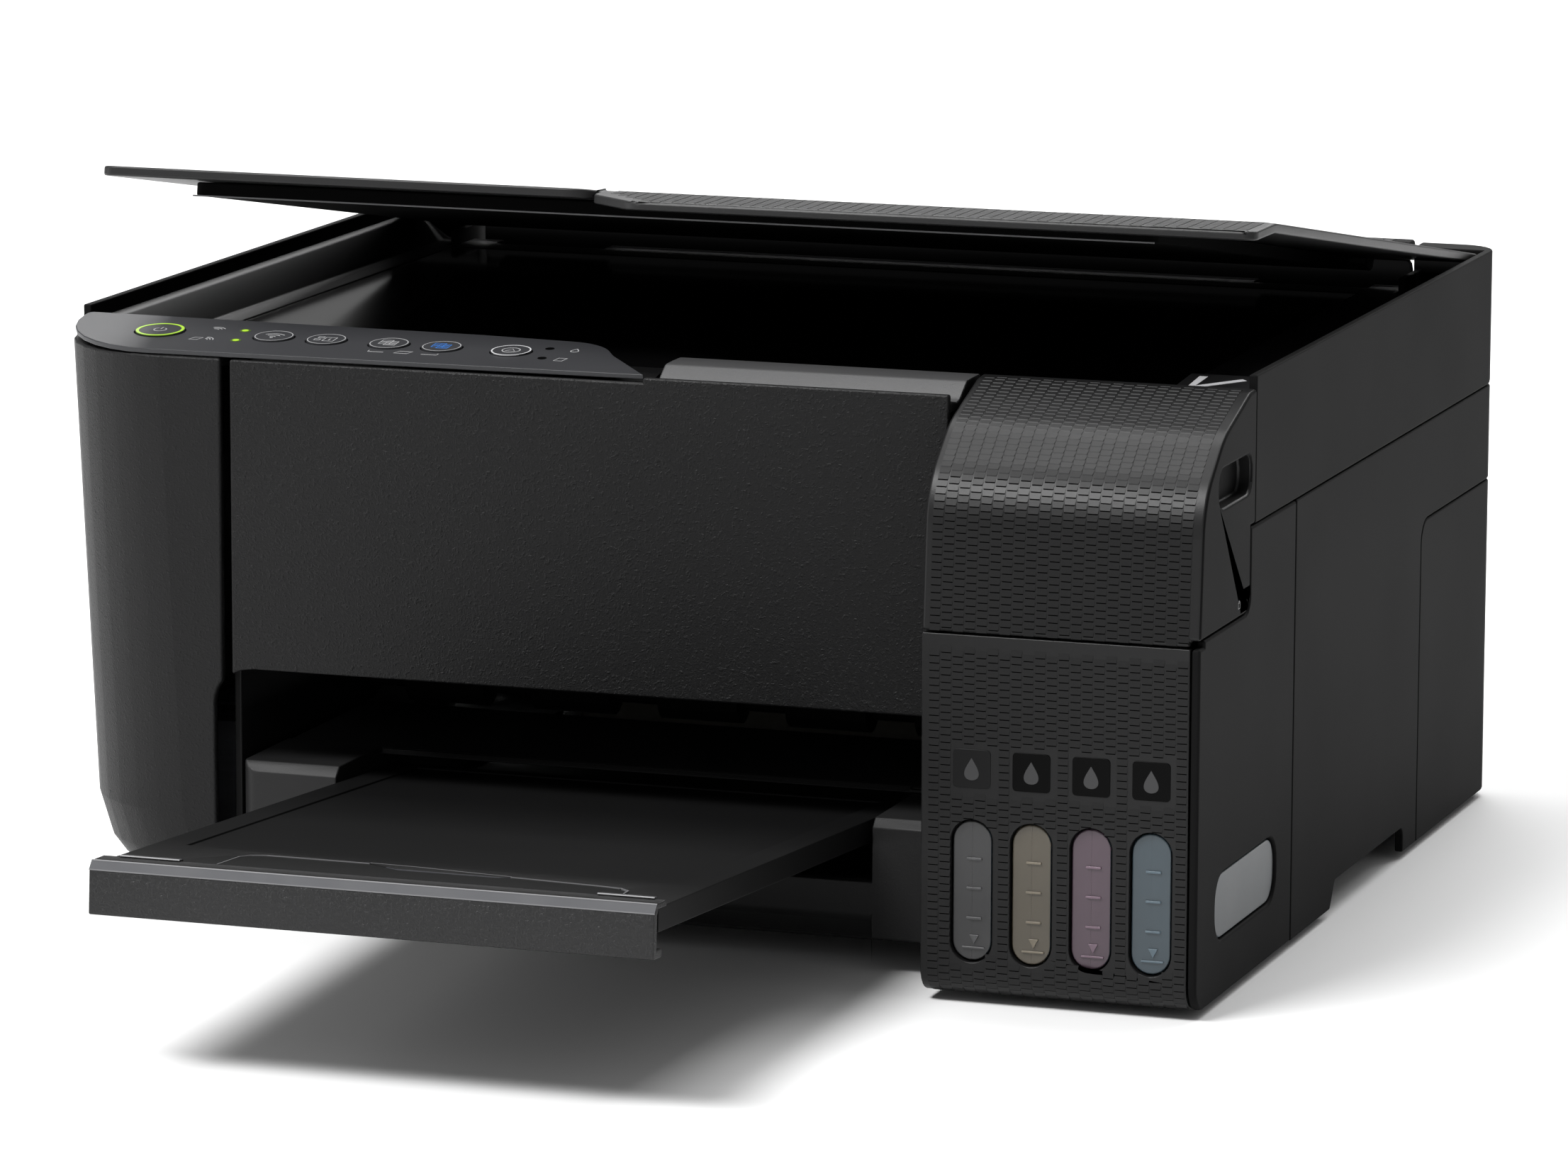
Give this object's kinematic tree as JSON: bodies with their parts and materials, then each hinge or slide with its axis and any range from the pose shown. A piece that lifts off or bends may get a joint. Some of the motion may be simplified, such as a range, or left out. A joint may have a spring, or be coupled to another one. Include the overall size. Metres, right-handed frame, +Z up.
{
  "type": "inkjet printer",
  "caption": "All-in-one ink-tank printer: flatbed scanner with hinged cover, button panel, sliding output tray, front tank windows, rear paper support and working print engine.",
  "frame": {"origin": "on the table, under the middle of the overall box with the output tray drawn out and the cover open", "axes": "+Z up, the control panel and output slot face -Y, +X towards the ink tank unit"},
  "size_m": [0.375, 0.5048, 0.221],
  "materials": {
    "panel_black": "fine grained matt moulding",
    "side_black": "satin moulding",
    "lifted_black": "satin moulding",
    "tray_black": "satin moulding",
    "inner_black": "satin moulding",
    "control_grey": "printed satin film",
    "rubber": "matt",
    "steel": "bright rolled",
    "nylon": "natural nylon",
    "ink_black": "cloudy translucent",
    "ink_yellow": "cloudy translucent",
    "ink_magenta": "cloudy translucent",
    "ink_cyan": "cloudy translucent",
    "scan_glass": "dark glass, polished",
    "pad_white": "foam backed film",
    "board_green": "solder mask",
    "felt": "pressed felt"
  },
  "bodies": {
    "body": {"base_case": "inner_black", "left_housing": "lifted_black", "rear_housing": "side_black", "right_side_panel": "side_black", "tank_front_cover": "panel_black", "tank_side_cover": "side_black", "ink_tank_black": "ink_black", "ink_tank_yellow": "ink_yellow", "ink_tank_magenta": "ink_magenta", "ink_tank_cyan": "ink_cyan", "foot_front_left": "rubber", "foot_front_right": "rubber", "foot_rear_left": "rubber", "foot_rear_right": "rubber", "platen": "inner_black", "carriage_rail": "steel", "carriage_belt": "rubber", "carriage_motor": "steel", "feed_motor": "steel", "capping_station": "inner_black", "waste_ink_pad": "felt", "power_supply": "steel", "ac_inlet": "inner_black", "main_board": "board_green"},
    "scanner": {"scanner_base": "side_black", "scanner_frame": "inner_black", "scanner_glass": "scan_glass", "scan_rod": "steel", "control_panel": "control_grey", "front_panel": "panel_black", "tank_cowl": "lifted_black"},
    "cover": {"document_cover": "panel_black", "document_pad": "pad_white"},
    "scan_head": {"scan_head": "inner_black"},
    "tray": {"output_tray": "tray_black", "tray_front_bar": "lifted_black"},
    "stopper": {"tray_stopper": "tray_black"},
    "support": {"paper_support": "side_black"},
    "guide": {"edge_guide": "inner_black"},
    "carriage": {"carriage": "inner_black", "print_head": "steel"},
    "feed_roller": {"feed_roller": "rubber"},
    "eject_roller": {"eject_roller": "rubber"},
    "feed_idler": {"feed_idler_gear": "nylon"},
    "feed_pinion": {"feed_motor_pinion": "nylon"},
    "drive_pulley": {"drive_pulley": "nylon"},
    "idler_pulley": {"idler_pulley": "nylon"},
    "inner_cover": {"tank_inner_cover": "inner_black"},
    "cap_black": {"ink_cap_black": "rubber"},
    "cap_yellow": {"ink_cap_yellow": "rubber"},
    "cap_magenta": {"ink_cap_magenta": "rubber"},
    "cap_cyan": {"ink_cap_cyan": "rubber"},
    "power_key": {"power_button": "control_grey"},
    "wireless_key": {"wireless_button": "control_grey"},
    "status_key": {"status_button": "control_grey"},
    "copy_mono_key": {"copy_mono_button": "control_grey"},
    "copy_colour_key": {"copy_colour_button": "control_grey"},
    "stop_key": {"stop_button": "control_grey"}
  },
  "joints": [
    {"name": "scanner_lift", "type": "hinge", "parent": "body", "child": "scanner", "pos_m": [0, 0.23843, 0.174], "axis": [-1, 0, 0], "range_deg": [0, 30]},
    {"name": "document_cover_hinge", "type": "hinge", "parent": "scanner", "child": "cover", "pos_m": [0, 0.23443, 0.1745], "axis": [-1, 0, 0], "range_deg": [-9.5, 70]},
    {"name": "output_tray_slide", "type": "slide", "parent": "body", "child": "tray", "axis": [0, -0.9978, 0.067], "range_m": [-0.183, 0]},
    {"name": "tray_stopper_hinge", "type": "hinge", "parent": "tray", "child": "stopper", "pos_m": [0, -0.23812, 0.05568], "axis": [1, 0, 0], "range_deg": [0, 95]},
    {"name": "carriage_slide", "type": "slide", "parent": "body", "child": "carriage", "axis": [1, 0, 0], "range_m": [-0.115, 0.095]},
    {"name": "drive_pulley_spin", "type": "hinge", "parent": "body", "child": "drive_pulley", "pos_m": [0.148, 0.11543, 0.112], "axis": [0, 0, 1], "range_deg": [-1250, 1250]},
    {"name": "idler_pulley_spin", "type": "hinge", "parent": "body", "child": "idler_pulley", "pos_m": [-0.148, 0.11543, 0.112], "axis": [0, 0, 1], "range_deg": [-1250, 1250]},
    {"name": "feed_roller_spin", "type": "hinge", "parent": "body", "child": "feed_roller", "pos_m": [0, 0.10543, 0.053], "axis": [1, 0, 0], "continuous": true},
    {"name": "eject_roller_spin", "type": "hinge", "parent": "body", "child": "eject_roller", "pos_m": [0, 0.05543, 0.053], "axis": [1, 0, 0], "continuous": true},
    {"name": "feed_idler_spin", "type": "hinge", "parent": "body", "child": "feed_idler", "pos_m": [0, 0.08043, 0.053], "axis": [1, 0, 0], "continuous": true},
    {"name": "feed_pinion_spin", "type": "hinge", "parent": "body", "child": "feed_pinion", "pos_m": [0, 0.12943, 0.053], "axis": [1, 0, 0], "continuous": true},
    {"name": "scan_head_slide", "type": "slide", "parent": "scanner", "child": "scan_head", "axis": [1, 0, 0], "range_m": [0, 0.28]},
    {"name": "edge_guide_slide", "type": "slide", "parent": "body", "child": "guide", "axis": [1, 0, 0], "range_m": [0, 0.06]},
    {"name": "paper_support_tilt", "type": "hinge", "parent": "body", "child": "support", "pos_m": [0, 0.24793, 0.0625], "axis": [-1, 0, 0], "range_deg": [0, 20]},
    {"name": "tank_inner_cover_hinge", "type": "hinge", "parent": "body", "child": "inner_cover", "pos_m": [0.146, 0.00343, 0.1037], "axis": [-1, 0, 0], "range_deg": [0, 90]},
    {"name": "ink_cap_black_hinge", "type": "hinge", "parent": "body", "child": "cap_black", "pos_m": [0.1199, -0.02857, 0.0985], "axis": [-1, 0, 0], "range_deg": [0, 80]},
    {"name": "ink_cap_yellow_hinge", "type": "hinge", "parent": "body", "child": "cap_yellow", "pos_m": [0.1378, -0.02857, 0.0985], "axis": [-1, 0, 0], "range_deg": [0, 80]},
    {"name": "ink_cap_magenta_hinge", "type": "hinge", "parent": "body", "child": "cap_magenta", "pos_m": [0.1557, -0.02857, 0.0985], "axis": [-1, 0, 0], "range_deg": [0, 80]},
    {"name": "ink_cap_cyan_hinge", "type": "hinge", "parent": "body", "child": "cap_cyan", "pos_m": [0.1736, -0.02857, 0.0985], "axis": [-1, 0, 0], "range_deg": [0, 80]},
    {"name": "power_press", "type": "slide", "parent": "scanner", "child": "power_key", "axis": [0, -0.1028, 0.9947], "range_m": [-0.0006, 0], "stiffness_N_per_m": 1200},
    {"name": "wireless_press", "type": "slide", "parent": "scanner", "child": "wireless_key", "axis": [0, -0.1028, 0.9947], "range_m": [-0.0006, 0], "stiffness_N_per_m": 1200},
    {"name": "status_press", "type": "slide", "parent": "scanner", "child": "status_key", "axis": [0, -0.1028, 0.9947], "range_m": [-0.0006, 0], "stiffness_N_per_m": 1200},
    {"name": "copy_mono_press", "type": "slide", "parent": "scanner", "child": "copy_mono_key", "axis": [0, -0.1028, 0.9947], "range_m": [-0.0006, 0], "stiffness_N_per_m": 1200},
    {"name": "copy_colour_press", "type": "slide", "parent": "scanner", "child": "copy_colour_key", "axis": [0, -0.1028, 0.9947], "range_m": [-0.0006, 0], "stiffness_N_per_m": 1200},
    {"name": "stop_press", "type": "slide", "parent": "scanner", "child": "stop_key", "axis": [0, -0.1028, 0.9947], "range_m": [-0.0006, 0], "stiffness_N_per_m": 1200}
  ],
  "couplings": [
    {"joint": "tank_inner_cover_hinge", "follows": "scanner_lift", "ratio": 3},
    {"joint": "ink_cap_black_hinge", "follows": "scanner_lift", "ratio": 2.6},
    {"joint": "ink_cap_yellow_hinge", "follows": "scanner_lift", "ratio": 2.6},
    {"joint": "ink_cap_magenta_hinge", "follows": "scanner_lift", "ratio": 2.6},
    {"joint": "ink_cap_cyan_hinge", "follows": "scanner_lift", "ratio": 2.6},
    {"joint": "drive_pulley_spin", "follows": "carriage_slide", "rad_per_m": 181.82},
    {"joint": "idler_pulley_spin", "follows": "carriage_slide", "rad_per_m": 181.82},
    {"joint": "eject_roller_spin", "follows": "feed_roller_spin", "ratio": 1},
    {"joint": "feed_idler_spin", "follows": "feed_roller_spin", "ratio": -2.5714},
    {"joint": "feed_pinion_spin", "follows": "feed_roller_spin", "ratio": -3}
  ]
}
